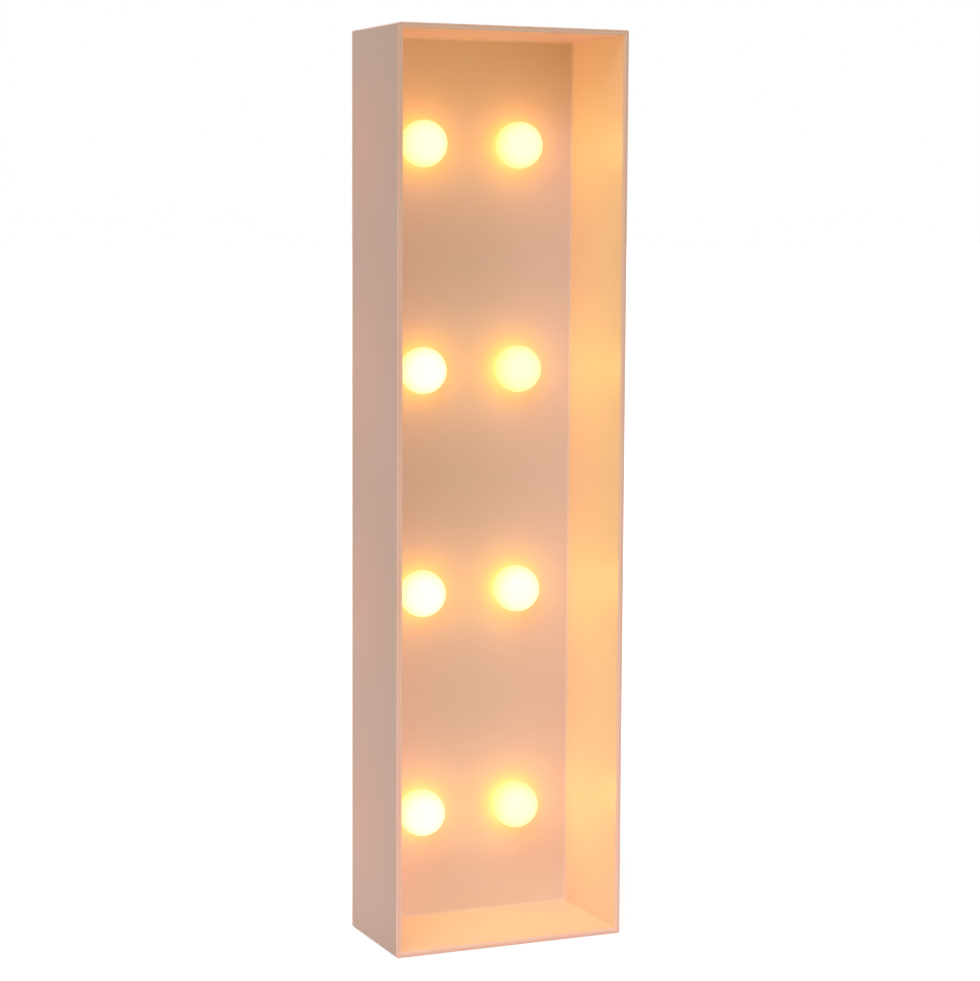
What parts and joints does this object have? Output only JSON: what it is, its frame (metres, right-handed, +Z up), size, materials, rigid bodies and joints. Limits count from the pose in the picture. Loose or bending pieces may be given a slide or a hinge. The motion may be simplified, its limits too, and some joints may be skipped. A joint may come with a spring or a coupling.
{
  "type": "light-up letter",
  "caption": "Free-standing light-up letter I: an open upright tray with round frosted bulbs on its floor, and a rear housing with a battery bay, sliding door and slide switch.",
  "frame": {"origin": "on the ground under the middle of the whole part", "axes": "+Z up, -Y out of the open front, +X to the right as seen from the front"},
  "size_m": [0.059, 0.0496, 0.22],
  "materials": {
    "tray_plastic": "thin translucent moulded plastic, pale blush, satin",
    "bulb_frosted": "frosted translucent plastic, lit from inside, warm white",
    "housing_plastic": "moulded plastic, fine texture",
    "screw_steel": "plated steel",
    "led_lens": "clear warm lens",
    "board_green": "green solder mask",
    "resistor_ceramic": "lacquered",
    "cell_sleeve": "plain printed sleeve over a metal can",
    "contact_nickel": "nickel-plated sheet and wire",
    "switch_phenolic": "brown phenolic",
    "switch_knob": "black, ribbed",
    "wire_red": "soft insulation",
    "wire_black": "soft insulation"
  },
  "bodies": {
    "letter": {"front_tray": "tray_plastic", "rear_housing": "housing_plastic", "cover_screws": "screw_steel", "bulb_left_1": "bulb_frosted", "bulb_left_2": "bulb_frosted", "bulb_left_3": "bulb_frosted", "bulb_left_4": "bulb_frosted", "bulb_right_1": "bulb_frosted", "bulb_right_2": "bulb_frosted", "bulb_right_3": "bulb_frosted", "bulb_right_4": "bulb_frosted", "led_left_1": "led_lens", "led_left_2": "led_lens", "led_left_3": "led_lens", "led_left_4": "led_lens", "led_right_1": "led_lens", "led_right_2": "led_lens", "led_right_3": "led_lens", "led_right_4": "led_lens", "light_board_left": "board_green", "light_board_right": "board_green", "board_screws": "screw_steel", "resistor": "resistor_ceramic", "cell_left": "cell_sleeve", "cell_right": "cell_sleeve", "contact_positive": "contact_nickel", "contact_negative": "contact_nickel", "contact_link": "contact_nickel", "spring_left": "contact_nickel", "spring_right": "contact_nickel", "switch_body": "switch_phenolic", "switch_frame": "contact_nickel", "switch_terminals": "contact_nickel", "switch_screws": "screw_steel", "wire_positive": "wire_red", "wire_switched": "wire_red", "wire_negative": "wire_black", "wire_link_positive": "wire_red", "wire_link_negative": "wire_black"},
    "battery_door": {"battery_door": "housing_plastic"},
    "switch_slider": {"switch_slider": "switch_knob"}
  },
  "joints": [
    {"name": "battery_door_slide", "type": "slide", "parent": "letter", "child": "battery_door", "axis": [1, 0, 0], "range_m": [0, 0.044]},
    {"name": "switch_slide", "type": "slide", "parent": "letter", "child": "switch_slider", "axis": [1, 0, 0], "range_m": [0, 0.004]}
  ]
}
